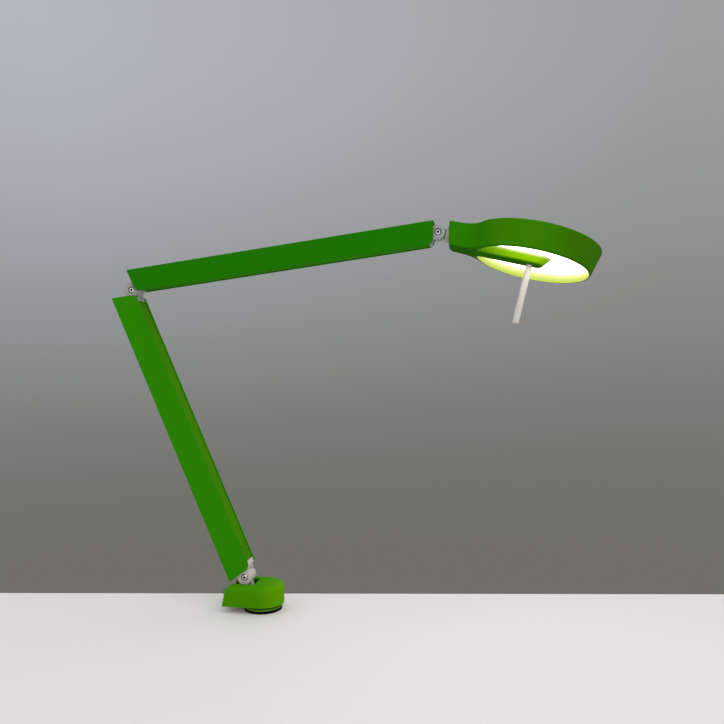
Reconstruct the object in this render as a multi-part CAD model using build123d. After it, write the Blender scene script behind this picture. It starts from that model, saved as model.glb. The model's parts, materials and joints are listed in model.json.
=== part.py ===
"""Desk lamp: swivelling base, two channel arms on friction knuckles, round LED head with a handle rod.

Millimetres, +Z up. The origin lies on the swivel axis in the surface of the desk, and +X runs from
the base towards the head. The pose is the lamp's rest pose.
"""
import os
from math import cos, pi, radians, sin, sqrt

from build123d import *

# Rest pose, in degrees
LOWER_LEAN = 24.1
UPPER_RISE = 7.3
HEAD_DROP = 13.5
HEAD_ROLL = 7.0

# Channel arms
ARM_WIDTH = 27.0
ARM_WALL = 2.0
ARM_CORNER = 1.2
COVER_RECESS = 1.2
COVER_THICKNESS = 1.6
COVER_LEG = 5.0
COVER_FIT = 0.15
COVER_END_GAP = 0.3

# Lower arm: its back is the closed side, measured from the base pivot
LOWER_DEPTH = 34.0
LOWER_BACK = 20.4
LOWER_FIRST_TIP = 2.6
LOWER_SPAN = 417.2
LOWER_FAR_RISE = -9.6
LOWER_LAST_TIP = 0.6
LOWER_FIRST_CUT = 7.7
LOWER_LAST_CUT = 10.4
LOWER_FIRST_ROUND = 8.0
LOWER_LAST_ROUND = 9.0
LOWER_LIP = 5.7

# Upper arm, measured from the elbow pivot
UPPER_DEPTH = 30.2
UPPER_BACK = 27.3
UPPER_FIRST_TIP = -2.3
UPPER_SPAN = 422.4
UPPER_FAR_RISE = 12.3
UPPER_LAST_TIP = -3.8
UPPER_FIRST_CUT = 10.2
UPPER_LAST_CUT = 4.3
UPPER_FIRST_ROUND = 5.0
UPPER_LAST_ROUND = 8.0
UPPER_LIP = 2.5

# Cast end plugs
PLUG_LENGTH = 36.0
PLUG_FIT = 0.1
PLUG_INSET = 1.5
PLUG_CHAMFER = 1.5
CABLE_RADIUS = 2.5
CABLE_FIT = 0.1
CABLE_SEAT = 10.0
CABLE_GAP = 1.5

# Knuckles
KNUCKLE_RADIUS = 10.0
HEAD_KNUCKLE_RADIUS = 9.5
KNUCKLE_SIDE_GAP = 1.5
KNUCKLE_EDGE = 0.8
EYE_WIDTH = 8.0
EYE_CLEAR = 2.5
EYE_NECK = 0.65
WASHER_THICKNESS = 0.5
WASHER_MARGIN = 1.5
AXIAL_PLAY = 0.1
RUNNING_FIT = 0.05

# Hinge bolt and nut
BOLT_RADIUS = 2.5
BOLT_HEAD_RADIUS = 3.6
BOLT_HEAD_HEIGHT = 3.4
BOLT_HEAD_SINK = 0.5
BOLT_SOCKET = 3.0
BOLT_SOCKET_DEPTH = 2.0
COUNTERBORE_GAP = 1.0
NUT_FLATS = 8.0
NUT_HEIGHT = 3.2
NUT_SINK = 0.6
NUT_FIT = 0.15

# Countersunk screws that hold the plugs and the bridge
SCREW_RADIUS = 1.6
SCREW_HEAD_RADIUS = 3.2
SCREW_FIT = 0.1
PLUG_SCREW_LENGTH = 10.0
PLUG_SCREW_PITCH = 14.0
PLUG_SCREW_FROM_END = 8.0

# Desk mount and swivel
PAD_RADIUS = 24.9
PAD_THICKNESS = 3.2
PLATE_THICKNESS = 2.4
PLATE_EDGE = 0.5
THRUST_RADIUS = 22.0
THRUST_THICKNESS = 3.4
SPINDLE_RADIUS = 6.0
SPINDLE_FOOT_RADIUS = 12.0
SPINDLE_FIT = 0.2
DESK_THREAD_RADIUS = 3.4
DESK_THREAD_LENGTH = 20.0
BUSH_WALL = 2.0
BOSS_WALL = 4.0
BOSS_HEIGHT = 19.0
CLIP_THICKNESS = 1.2
CLIP_DEPTH = 0.6
CLIP_REACH = 2.2
SPINDLE_END = 1.3

# Base casting and cover
BASE_PIVOT_X = -22.9
BASE_PIVOT_Z = 42.0
COVER_RADIUS = 28.0
COVER_LIFT = 2.9
COVER_HEIGHT = 26.3
COVER_WALL = 2.5
COVER_ROUND = 7.0
COVER_TAIL = 47.5
COVER_TAIL_SLANT = 5.3
SLOT_SIDE_GAP = 1.0
SLOT_END = 8.0
SLOT_ROUND = 4.0
TAIL_WALL_HEIGHT = 15.5
FLOOR_THICKNESS = 4.0
FLOOR_FIT = 0.3
POST_FOOT = 13.0
COVER_BOSS_RADIUS = 5.0
COVER_BOSS_BITE = 0.5
COVER_SCREW_RADIUS = 1.6
COVER_SCREW_HEAD_RADIUS = 2.8
COVER_SCREW_HEAD_HEIGHT = 2.0
COVER_SCREW_LENGTH = 13.0
COVER_SCREW_TURN = 50.0
COVER_SCREW_TAIL = 13.0

# Cable gland in the cover's tail
GLAND_HEIGHT = 9.0
GLAND_RADIUS = 4.0
GLAND_FLANGE_RADIUS = 6.0
GLAND_FLANGE = 2.5
GLAND_NOSE = 10.5
GLAND_NOSE_RADIUS = 3.6
GLAND_BORE = 2.5
GLAND_NUT_FLATS = 11.0
GLAND_NUT = 3.0
GLAND_SHANK = 3.4
GLAND_ROOM = 1.0

# Head frame: a neck that blends into a flared ring
RIM_Z = -16.4
TOP_Z = 15.5
TOP_RADIUS = 79.6
RING_FLARE = 7.7
RING_WALL = 2.1
NECK_REACH = 42.8
NECK_WIDTH = 28.0
NECK_END_TOP = 10.9
NECK_END_SLANT = 6.4
NECK_BLEND = 34.0
NECK_CORNER = 8.0
TOP_ROUND = 2.0
RIM_ROUND = 1.4
LEDGE_WIDTH = 4.5
LEDGE_THICKNESS = 2.0
LID_THICKNESS = 2.4
LID_FIT = 0.2

# Head stem, on which the head turns about its own axis
COLLAR_RADIUS = 9.6
COLLAR_START = 10.6
COLLAR_LENGTH = 8.0
COLLAR_CLEAR = 0.5
STEM_RADIUS = 5.0
STEM_BUSH_WALL = 1.5
STEM_BUSH_LENGTH = 21.0
STEM_BUSH_FLANGE = 1.0
STEM_END = 2.0

# Light engine
DIFFUSER_RECESS = 12.0
DIFFUSER_THICKNESS = 2.5
DIFFUSER_FIT = 0.1
SPREADER_MARGIN = 13.6
SPREADER_THICKNESS = 2.0
BOARD_MARGIN = 6.0
BOARD_THICKNESS = 1.6
CHIP_SIZE = 3.5
CHIP_THICKNESS = 0.8
CHIP_COUNTS = (18, 10, 4)
CHIP_MARGIN = 10.0
CHIP_INNER_CIRCLE = 12.0
LED_SCREW_COUNT = 3
LED_SCREW_RADIUS = 1.5
LED_SCREW_HEAD_RADIUS = 2.8
LED_SCREW_HEAD = 1.6
LED_SCREW_BITE = 1.5

# Bridge under the diffuser and its handle rod
BRIDGE_WIDTH = 22.0
BRIDGE_TOP_WIDTH = 25.0
BRIDGE_START = 30.0
BRIDGE_REACH = 12.8
BRIDGE_TOP_REACH = 22.4
BRIDGE_SEAT = 8.4
BRIDGE_ROUND = 3.0
BRIDGE_FIT = 0.15
BRIDGE_SCREW_X = 38.0
BRIDGE_SCREW_Y = 9.0
BRIDGE_SCREW_LENGTH = 14.0
ROD_BACK = 2.4
ROD_RADIUS = 4.0
ROD_LENGTH = 75.6
ROD_SEAT = 4.5
ROD_EDGE = 0.6
ROD_FIT = 0.05
ROD_SCREW_LENGTH = 16.0

# Sizes that follow from the ones above
ARM_INSIDE = ARM_WIDTH - 2 * ARM_WALL
PLUG_WIDTH = ARM_INSIDE - 2 * PLUG_FIT
KNUCKLE_WIDTH = ARM_INSIDE - 2 * KNUCKLE_SIDE_GAP
FORK_SLOT = EYE_WIDTH + 2 * (WASHER_THICKNESS + AXIAL_PLAY)
PLATE_TOP = PAD_THICKNESS + PLATE_THICKNESS
THRUST_TOP = PLATE_TOP + THRUST_THICKNESS
FLOOR_Z = THRUST_TOP + AXIAL_PLAY
BOSS_TOP = FLOOR_Z + BOSS_HEIGHT
BUSH_RADIUS = SPINDLE_RADIUS + BUSH_WALL
BOSS_RADIUS = BUSH_RADIUS + BOSS_WALL
COVER_BOTTOM = PLATE_TOP + COVER_LIFT
COVER_TOP = COVER_BOTTOM + COVER_HEIGHT
RIM_RADIUS = TOP_RADIUS - RING_FLARE
RING_TAPER = RING_FLARE / (TOP_Z - RIM_Z)
RING_X = NECK_REACH + TOP_RADIUS
LID_BOTTOM = TOP_Z - LID_THICKNESS
DIFFUSER_Z = RIM_Z + DIFFUSER_RECESS
SPREADER_RADIUS = TOP_RADIUS - SPREADER_MARGIN
BOARD_RADIUS = SPREADER_RADIUS - BOARD_MARGIN
CHIP_CIRCLES = (BOARD_RADIUS - CHIP_MARGIN, BOARD_RADIUS / 2, CHIP_INNER_CIRCLE)
LED_SCREW_CIRCLE = (CHIP_CIRCLES[0] + CHIP_CIRCLES[1]) / 2
STEM_BUSH_RADIUS = STEM_RADIUS + STEM_BUSH_WALL
COLLAR_END = COLLAR_START + COLLAR_LENGTH
BUSH_START = COLLAR_END + AXIAL_PLAY
BUSH_END = BUSH_START + STEM_BUSH_LENGTH
ROD_X = RING_X - ROD_BACK


class Arm:
    """A channel arm in its own frame: X along it from the first pivot, Z towards its closed back."""

    def __init__(self, depth, back, tips, cuts, rounds, lip_length, far_pivot):
        self.back = back
        self.depth = depth
        self.edge = back - depth
        self.tips = tips
        self.cuts = cuts
        self.rounds = rounds
        self.lip_length = lip_length
        self.far_pivot = far_pivot
        self.inside = back - ARM_WALL
        self.lip = self.edge + COVER_RECESS
        self.seat = self.lip + COVER_THICKNESS

    def end_face(self, end, z, inset=0.0):
        """Place along the arm of its oblique end (0 first, 1 last) at height z."""
        inward = 1 - 2 * end
        return self.tips[end] + inward * (self.cuts[end] * (self.back - z) / self.depth + inset)

    def lip_end(self, end):
        """Where an end plug's flush lip stops and the cover strip starts."""
        inward = 1 - 2 * end
        return self.end_face(end, self.lip, PLUG_INSET) + inward * (PLUG_CHAMFER + self.lip_length)

    def plug_end(self, end):
        """Inner end of an end plug."""
        return self.end_face(end, self.inside, PLUG_INSET) + (1 - 2 * end) * PLUG_LENGTH

    def screw_places(self, end):
        """Places along the arm of the two screws that hold an end plug."""
        inward = 1 - 2 * end
        last = self.plug_end(end) - inward * PLUG_SCREW_FROM_END
        return (last, last - inward * PLUG_SCREW_PITCH)

    def cable_height(self):
        """Height at which the cable runs along the channel."""
        return self.back - PLUG_SCREW_LENGTH - CABLE_GAP - CABLE_RADIUS


def make_arms():
    """The lower and the upper arm."""
    lower = Arm(
        LOWER_DEPTH, LOWER_BACK, (LOWER_FIRST_TIP, LOWER_SPAN + LOWER_LAST_TIP),
        (LOWER_FIRST_CUT, LOWER_LAST_CUT), (LOWER_FIRST_ROUND, LOWER_LAST_ROUND), LOWER_LIP,
        (LOWER_SPAN, LOWER_FAR_RISE),
    )
    upper = Arm(
        UPPER_DEPTH, UPPER_BACK, (UPPER_FIRST_TIP, UPPER_SPAN + UPPER_LAST_TIP),
        (UPPER_FIRST_CUT, UPPER_LAST_CUT), (UPPER_FIRST_ROUND, UPPER_LAST_ROUND), UPPER_LIP,
        (UPPER_SPAN, UPPER_FAR_RISE),
    )
    return lower, upper


# Small building steps

def side_solid(sketch, width, y=0.0):
    """Solid of a side view drawn in X and Z, of the given width about the plane Y = y."""
    return Pos(0, y, 0) * extrude(Plane.XZ * sketch, width / 2, both=True)


def plan_solid(sketch, low, high):
    """Solid of a plan drawn in X and Y, from one height to another."""
    return extrude(Pos(0, 0, low) * sketch, high - low)


def cross_cylinder(place, radius, y_low, y_high):
    """Cylinder along Y at a place in X and Z."""
    return Pos(place[0], (y_low + y_high) / 2, place[1]) * Rot(90, 0, 0) * Cylinder(radius, y_high - y_low)


def long_cylinder(radius, x_low, x_high, z=0.0, y=0.0):
    """Cylinder along X."""
    return Pos((x_low + x_high) / 2, y, z) * Rot(0, 90, 0) * Cylinder(radius, x_high - x_low)


def upright_cylinder(radius, low, high, x=0.0, y=0.0):
    """Cylinder along Z."""
    return Pos(x, y, (low + high) / 2) * Cylinder(radius, high - low)


def outline(*points):
    """Closed outline through points."""
    return Polygon(*points, align=None)


def nearest_vertices(sketch, *places):
    """The vertices of a sketch that lie nearest to the given places."""
    return [sketch.vertices().sort_by_distance(Vector(place[0], place[1], 0))[0] for place in places]


def hull_outline(place, radius, root):
    """Side view of a disc at a pivot drawn out to a root, given as x low, x high, z low and z high."""
    x_low, x_high, z_low, z_high = root
    disc = Pos(*place) * Circle(radius)
    block = Pos((x_low + x_high) / 2, (z_low + z_high) / 2) * Rectangle(x_high - x_low, z_high - z_low)
    return make_hull(disc.edges() + block.edges())


def eye_outline(place, radius, root):
    """Side view of a round eye or ear on a narrower neck, which leaves its mate room to swing."""
    return Pos(*place) * Circle(radius) + hull_outline(place, radius * EYE_NECK, root)


def countersunk_screw(length):
    """Countersunk screw along -Z, with the face of its head at the origin and a hexagon socket."""
    head_depth = SCREW_HEAD_RADIUS - SCREW_RADIUS
    head = Pos(0, 0, -head_depth / 2) * Cone(SCREW_RADIUS, SCREW_HEAD_RADIUS, head_depth)
    screw = head + upright_cylinder(SCREW_RADIUS, -length, -head_depth)
    socket = extrude(RegularPolygon(SCREW_RADIUS * 0.8, 6), -head_depth)
    return screw - socket


def countersunk_hole(length):
    """Hole that takes a countersunk screw with a little room all round."""
    head_depth = SCREW_HEAD_RADIUS - SCREW_RADIUS
    shank = SCREW_RADIUS + SCREW_FIT
    head = Pos(0, 0, -head_depth / 2) * Cone(shank, SCREW_HEAD_RADIUS + SCREW_FIT, head_depth)
    return head + upright_cylinder(shank, -length - SCREW_FIT, -head_depth)


# Knuckle hardware

def hinge_holes(place):
    """Shank hole, counterbore and nut pocket of a fork, for a bolt along Y that enters from -Y."""
    half = KNUCKLE_WIDTH / 2
    sink = BOLT_HEAD_HEIGHT + BOLT_HEAD_SINK
    holes = cross_cylinder(place, BOLT_RADIUS + RUNNING_FIT, -half, half)
    holes += cross_cylinder(place, BOLT_HEAD_RADIUS + COUNTERBORE_GAP, -half, sink - half)
    pocket = RegularPolygon(NUT_FLATS / 2 + NUT_FIT, 6, major_radius=False)
    depth = NUT_HEIGHT + NUT_SINK
    holes += side_solid(Pos(*place) * pocket, depth, half - depth / 2)
    return holes


def hinge_bolt(place):
    """Socket head bolt through a fork."""
    half = KNUCKLE_WIDTH / 2
    face = BOLT_HEAD_SINK - half
    seat = face + BOLT_HEAD_HEIGHT
    bolt = cross_cylinder(place, BOLT_HEAD_RADIUS, face, seat)
    bolt += cross_cylinder(place, BOLT_RADIUS, seat, half - NUT_SINK)
    socket = RegularPolygon(BOLT_SOCKET / 2, 6, major_radius=False)
    return bolt - side_solid(Pos(*place) * socket, BOLT_SOCKET_DEPTH, face + BOLT_SOCKET_DEPTH / 2)


def hinge_nut(place):
    """Hexagon nut in the far ear's pocket."""
    middle = KNUCKLE_WIDTH / 2 - NUT_SINK - NUT_HEIGHT / 2
    nut = side_solid(Pos(*place) * RegularPolygon(NUT_FLATS / 2, 6, major_radius=False), NUT_HEIGHT, middle)
    return nut - cross_cylinder(place, BOLT_RADIUS + RUNNING_FIT, middle - NUT_HEIGHT, middle + NUT_HEIGHT)


def hinge_washers(place, radius):
    """Friction washers between the ears and the eye."""
    washers = []
    for side in (-1, 1):
        inner = side * (FORK_SLOT / 2 - WASHER_THICKNESS)
        outer = side * FORK_SLOT / 2
        low, high = sorted((inner, outer))
        ring = cross_cylinder(place, radius - WASHER_MARGIN, low, high)
        washers.append(ring - cross_cylinder(place, BOLT_RADIUS + RUNNING_FIT, low, high))
    return Compound(washers)


def rounded_disc_edges(solid, place, radius, width):
    """Break the outer edges of a knuckle's two round faces."""
    rim = [
        edge for edge in solid.edges().filter_by(GeomType.CIRCLE)
        if abs(edge.radius - radius) < 1e-3 and abs(abs(edge.center(CenterOf.GEOMETRY).Y) - width / 2) < 1e-3
    ]
    return chamfer(rim, KNUCKLE_EDGE) if rim else solid


# Arms

def channel(arm):
    """U-shaped arm with oblique ends and rounded inner corners."""
    tall = arm.depth + 2 * ARM_CORNER
    shell = Pos(0, arm.back - tall / 2) * RectangleRounded(ARM_WIDTH, tall, ARM_CORNER)
    hollow = Pos(0, arm.inside - tall / 2) * Rectangle(ARM_INSIDE, tall)
    length = arm.tips[1] - arm.tips[0]
    bar = extrude(Plane.YZ * (shell - hollow), length)
    bar = Pos(arm.tips[0], 0, 0) * bar
    corners = [(arm.end_face(end, arm.edge), arm.edge) for end in (0, 1)]
    side = outline((arm.tips[0], arm.back), corners[0], corners[1], (arm.tips[1], arm.back))
    for corner, radius in zip(corners, arm.rounds):
        side = fillet(nearest_vertices(side, corner), radius)
    body = bar & side_solid(side, ARM_WIDTH)
    for end in (0, 1):
        for x in arm.screw_places(end):
            body -= Pos(x, 0, arm.back) * countersunk_hole(PLUG_SCREW_LENGTH)
    return body


def cover_strip(arm):
    """Strip that closes the open side of the channel, with two legs along its flanges."""
    start = arm.lip_end(0) + COVER_END_GAP
    length = arm.lip_end(1) - COVER_END_GAP - start
    width = ARM_INSIDE - 2 * COVER_FIT
    plate = Pos(0, arm.lip + COVER_THICKNESS / 2) * Rectangle(width, COVER_THICKNESS)
    for side in (-1, 1):
        leg_y = side * (width - COVER_THICKNESS) / 2
        plate += Pos(leg_y, arm.lip + COVER_LEG / 2) * Rectangle(COVER_THICKNESS, COVER_LEG)
    strip = Pos(start, 0, 0) * extrude(Plane.YZ * plate, length)
    for end in (0, 1):
        low, high = sorted((arm.plug_end(end), arm.lip_end(end)))
        tall = COVER_LEG - COVER_THICKNESS
        gap = 2 * PLUG_INSET
        strip -= Pos((low + high) / 2, 0, arm.seat + tall / 2) * Box(high - low + gap, ARM_WIDTH, tall)
    return strip


def plug_block(arm, end):
    """Side view of the part of an end plug that fills the channel."""
    inward = 1 - 2 * end
    top = arm.inside - PLUG_FIT
    chamfer_z = arm.lip + PLUG_CHAMFER
    lip_end = arm.lip_end(end)
    plug_end = arm.plug_end(end)
    return outline(
        (arm.end_face(end, top, PLUG_INSET), top),
        (arm.end_face(end, chamfer_z, PLUG_INSET), chamfer_z),
        (arm.end_face(end, arm.lip, PLUG_INSET) + inward * PLUG_CHAMFER, arm.lip),
        (lip_end, arm.lip),
        (lip_end, arm.seat),
        (plug_end, arm.seat),
        (plug_end, top),
    )


def plug_holes(arm, end):
    """Screw holes and cable seat of an end plug."""
    inward = 1 - 2 * end
    plug_end = arm.plug_end(end)
    low, high = sorted((plug_end, plug_end - inward * CABLE_SEAT))
    holes = long_cylinder(CABLE_RADIUS + CABLE_FIT, low, high, arm.cable_height())
    for x in arm.screw_places(end):
        holes += Pos(x, 0, arm.back) * countersunk_hole(PLUG_SCREW_LENGTH)
    return holes


def fork_plug(arm, end, place, radius, root):
    """End plug whose two ears take the mating eye between them."""
    ears = side_solid(eye_outline(place, radius, root), KNUCKLE_WIDTH)
    ears = rounded_disc_edges(ears, place, radius, KNUCKLE_WIDTH)
    plug = side_solid(plug_block(arm, end), PLUG_WIDTH) + ears
    plug -= cross_cylinder(place, radius + EYE_CLEAR, -FORK_SLOT / 2, FORK_SLOT / 2)
    return plug - hinge_holes(place) - plug_holes(arm, end)


def eye_plug(arm, end, place, radius, root):
    """End plug that ends in a single eye, with room at its sides for the mating ears."""
    plug = side_solid(plug_block(arm, end), PLUG_WIDTH)
    plug -= cross_cylinder(place, radius + EYE_CLEAR, -ARM_WIDTH / 2, ARM_WIDTH / 2)
    plug += side_solid(eye_outline(place, radius, root), EYE_WIDTH)
    plug -= cross_cylinder(place, BOLT_RADIUS + RUNNING_FIT, -ARM_WIDTH / 2, ARM_WIDTH / 2)
    return plug - plug_holes(arm, end)


def ear_root(arm, end, low, high):
    """Stretch of an end plug's block, between two heights, that its ears or eye grow out of."""
    inward = 1 - 2 * end
    inner = arm.lip_end(end)
    first, last = sorted((inner, inner - inward * PLUG_LENGTH / 6))
    return (first, last, max(low, arm.seat), min(high, arm.inside - PLUG_FIT))


def plug_screws(arm):
    """Countersunk screws through the arm's back into its plugs."""
    places = [x for end in (0, 1) for x in arm.screw_places(end)]
    return Compound([Pos(x, 0, arm.back) * countersunk_screw(PLUG_SCREW_LENGTH) for x in places])


def arm_cable(arm):
    """Cable along the channel, with its ends in the plugs."""
    start = arm.plug_end(0) - CABLE_SEAT + CABLE_FIT
    stop = arm.plug_end(1) + CABLE_SEAT - CABLE_FIT
    return long_cylinder(CABLE_RADIUS, start, stop, arm.cable_height())


def lower_arm_parts(arm):
    """Lower arm: forked foot, eye at the elbow."""
    foot = (0.0, 0.0)
    foot_root = ear_root(arm, 0, -KNUCKLE_RADIUS, KNUCKLE_RADIUS)
    eye_root = ear_root(arm, 1, arm.far_pivot[1] - KNUCKLE_RADIUS, arm.far_pivot[1] + KNUCKLE_RADIUS)
    return {
        "lower_channel": channel(arm),
        "lower_cover_strip": cover_strip(arm),
        "lower_foot_plug": fork_plug(arm, 0, foot, KNUCKLE_RADIUS, foot_root),
        "lower_elbow_plug": eye_plug(arm, 1, arm.far_pivot, KNUCKLE_RADIUS, eye_root),
        "lower_plug_screws": plug_screws(arm),
        "lower_arm_cable": arm_cable(arm),
        "base_hinge_bolt": hinge_bolt(foot),
        "base_hinge_nut": hinge_nut(foot),
        "base_hinge_washers": hinge_washers(foot, KNUCKLE_RADIUS),
    }


def upper_arm_parts(arm):
    """Upper arm: forks at both ends."""
    elbow = (0.0, 0.0)
    head = arm.far_pivot
    elbow_root = ear_root(arm, 0, -KNUCKLE_RADIUS, KNUCKLE_RADIUS)
    head_root = ear_root(arm, 1, head[1] - HEAD_KNUCKLE_RADIUS, head[1] + HEAD_KNUCKLE_RADIUS)
    return {
        "upper_channel": channel(arm),
        "upper_cover_strip": cover_strip(arm),
        "upper_elbow_plug": fork_plug(arm, 0, elbow, KNUCKLE_RADIUS, elbow_root),
        "upper_head_plug": fork_plug(arm, 1, head, HEAD_KNUCKLE_RADIUS, head_root),
        "upper_plug_screws": plug_screws(arm),
        "upper_arm_cable": arm_cable(arm),
        "elbow_hinge_bolt": hinge_bolt(elbow),
        "elbow_hinge_nut": hinge_nut(elbow),
        "elbow_hinge_washers": hinge_washers(elbow, KNUCKLE_RADIUS),
        "head_hinge_bolt": hinge_bolt(head),
        "head_hinge_nut": hinge_nut(head),
        "head_hinge_washers": hinge_washers(head, HEAD_KNUCKLE_RADIUS),
    }


# Base

def desk_mount_parts():
    """What stays still on the desk: pad, plate, spindle and what sits on the spindle."""
    foot_hole = SPINDLE_FOOT_RADIUS + SPINDLE_FIT
    pad = upright_cylinder(PAD_RADIUS, 0, PAD_THICKNESS) - upright_cylinder(foot_hole, 0, PAD_THICKNESS)
    plate = upright_cylinder(PAD_RADIUS, PAD_THICKNESS, PLATE_TOP)
    plate = chamfer(plate.edges().filter_by(GeomType.CIRCLE), PLATE_EDGE)
    plate -= upright_cylinder(SPINDLE_RADIUS + RUNNING_FIT, PAD_THICKNESS, PLATE_TOP)
    washer = upright_cylinder(THRUST_RADIUS, PLATE_TOP, THRUST_TOP)
    washer -= upright_cylinder(SPINDLE_RADIUS + RUNNING_FIT, PLATE_TOP, THRUST_TOP)
    washer_low = BOSS_TOP + AXIAL_PLAY
    clip_low = washer_low + CLIP_THICKNESS
    clip_high = clip_low + CLIP_THICKNESS
    groove_radius = SPINDLE_RADIUS - CLIP_DEPTH
    spindle = upright_cylinder(SPINDLE_FOOT_RADIUS, 0, PAD_THICKNESS)
    spindle += upright_cylinder(SPINDLE_RADIUS, PAD_THICKNESS, clip_high + SPINDLE_END)
    groove = upright_cylinder(SPINDLE_RADIUS, clip_low - RUNNING_FIT, clip_high + RUNNING_FIT)
    groove -= upright_cylinder(groove_radius, clip_low - RUNNING_FIT, clip_high + RUNNING_FIT)
    spindle -= groove
    spindle -= upright_cylinder(DESK_THREAD_RADIUS, 0, DESK_THREAD_LENGTH)
    top_washer = upright_cylinder(BUSH_RADIUS + CLIP_REACH, washer_low, clip_low)
    top_washer -= upright_cylinder(SPINDLE_RADIUS + RUNNING_FIT, washer_low, clip_low)
    clip = upright_cylinder(SPINDLE_RADIUS + CLIP_REACH, clip_low, clip_high)
    clip -= upright_cylinder(groove_radius + RUNNING_FIT, clip_low, clip_high)
    gap = Pos(SPINDLE_RADIUS, 0, clip_low + CLIP_THICKNESS / 2)
    clip -= gap * Box(2 * CLIP_REACH + SPINDLE_RADIUS, 2 * CLIP_REACH, CLIP_THICKNESS)
    return {
        "desk_pad": pad,
        "desk_plate": plate,
        "swivel_spindle": spindle,
        "thrust_washer": washer,
        "spindle_washer": top_washer,
        "spindle_clip": clip,
    }


def tail_x(z, inset=0.0):
    """Place of the cover's slanted tail end at height z, moved inwards by an inset."""
    slope = COVER_TAIL_SLANT / COVER_HEIGHT
    return -COVER_TAIL + slope * (z - COVER_BOTTOM) + inset * sqrt(1 + slope * slope)


def tail_block(inset, low, high):
    """Everything that lies on the head side of the slanted tail end."""
    far = COVER_RADIUS * 2
    side = outline((tail_x(low, inset), low), (far, low), (far, high), (tail_x(high, inset), high))
    return side_solid(side, 4 * COVER_RADIUS)


def base_plan(inset, low, high):
    """D-shaped plan of the base, moved inwards by an inset and cut off at the slanted tail."""
    radius = COVER_RADIUS - inset
    plan = Circle(radius) + Pos(-COVER_TAIL / 2, 0) * Rectangle(COVER_TAIL, 2 * radius)
    return plan_solid(plan, low, high) & tail_block(inset, low, high)


def cover_screw_places():
    """Plan places of the screws that hold the cover on the casting."""
    reach = COVER_RADIUS - COVER_WALL - COVER_BOSS_RADIUS + COVER_BOSS_BITE
    turn = radians(COVER_SCREW_TURN)
    front = (reach * cos(turn), reach * sin(turn))
    tail = (COVER_SCREW_TAIL - COVER_TAIL, reach)
    return [(x, side * y) for x, y in (front, tail) for side in (-1, 1)]


def base_cover(gland_plane):
    """Painted cover: D-shaped shell with a slot for the arm's foot and a slanted tail."""
    body = base_plan(0, COVER_BOTTOM, COVER_TOP)
    body = fillet(body.edges().group_by(Axis.Z)[-1], COVER_ROUND)
    inside = base_plan(COVER_WALL, COVER_BOTTOM, COVER_TOP - COVER_WALL)
    body -= fillet(inside.edges().group_by(Axis.Z)[-1], COVER_ROUND - COVER_WALL)
    slot_width = ARM_WIDTH + 2 * SLOT_SIDE_GAP
    slot_length = COVER_TAIL + COVER_RADIUS
    slot = Pos(-SLOT_END - slot_length / 2, 0) * RectangleRounded(slot_length, slot_width, SLOT_ROUND)
    boss_low = FLOOR_Z + FLOOR_THICKNESS
    hole_top = FLOOR_Z + COVER_SCREW_LENGTH + SCREW_FIT
    for x, y in cover_screw_places():
        boss = upright_cylinder(COVER_BOSS_RADIUS, boss_low, COVER_TOP - COVER_ROUND, x, y)
        body += boss - upright_cylinder(COVER_SCREW_RADIUS + SCREW_FIT, boss_low, hole_top, x, y)
    body -= plan_solid(slot, COVER_BOTTOM + TAIL_WALL_HEIGHT, COVER_TOP + COVER_WALL)
    return body - gland_plane * upright_cylinder(GLAND_RADIUS + SCREW_FIT, -2 * COVER_WALL, COVER_WALL)


def base_casting():
    """Cast turret: floor, swivel boss and the post with the eye of the base hinge."""
    pivot = (BASE_PIVOT_X, BASE_PIVOT_Z)
    floor_top = FLOOR_Z + FLOOR_THICKNESS
    body = base_plan(COVER_WALL + FLOOR_FIT, FLOOR_Z, floor_top)
    gland_front = tail_x(COVER_BOTTOM + GLAND_HEIGHT) + COVER_WALL + GLAND_SHANK + GLAND_ROOM
    gland_side = GLAND_NUT_FLATS / sqrt(3) + GLAND_ROOM
    relief = Pos((gland_front - COVER_TAIL) / 2, 0) * Rectangle(gland_front + COVER_TAIL, 2 * gland_side)
    body -= plan_solid(relief, FLOOR_Z, floor_top)
    body += upright_cylinder(BOSS_RADIUS, FLOOR_Z, BOSS_TOP)
    root = (BASE_PIVOT_X - POST_FOOT, BASE_PIVOT_X + POST_FOOT, FLOOR_Z, floor_top)
    body += side_solid(eye_outline(pivot, KNUCKLE_RADIUS, root), EYE_WIDTH)
    body -= upright_cylinder(BUSH_RADIUS, FLOOR_Z, BOSS_TOP)
    body -= cross_cylinder(pivot, BOLT_RADIUS + RUNNING_FIT, -EYE_WIDTH, EYE_WIDTH)
    for x, y in cover_screw_places():
        body -= upright_cylinder(COVER_SCREW_RADIUS + SCREW_FIT, FLOOR_Z, floor_top, x, y)
        head_top = FLOOR_Z + COVER_SCREW_HEAD_HEIGHT
        body -= upright_cylinder(COVER_SCREW_HEAD_RADIUS + SCREW_FIT, FLOOR_Z, head_top, x, y)
    return body


def cover_screws():
    """Pan head screws from below the casting's floor up into the cover."""
    screws = []
    for x, y in cover_screw_places():
        head_top = FLOOR_Z + COVER_SCREW_HEAD_HEIGHT
        head = upright_cylinder(COVER_SCREW_HEAD_RADIUS, FLOOR_Z + AXIAL_PLAY, head_top, x, y)
        shank = upright_cylinder(COVER_SCREW_RADIUS, head_top, FLOOR_Z + COVER_SCREW_LENGTH, x, y)
        screws.append(head + shank)
    return Compound(screws)


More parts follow.
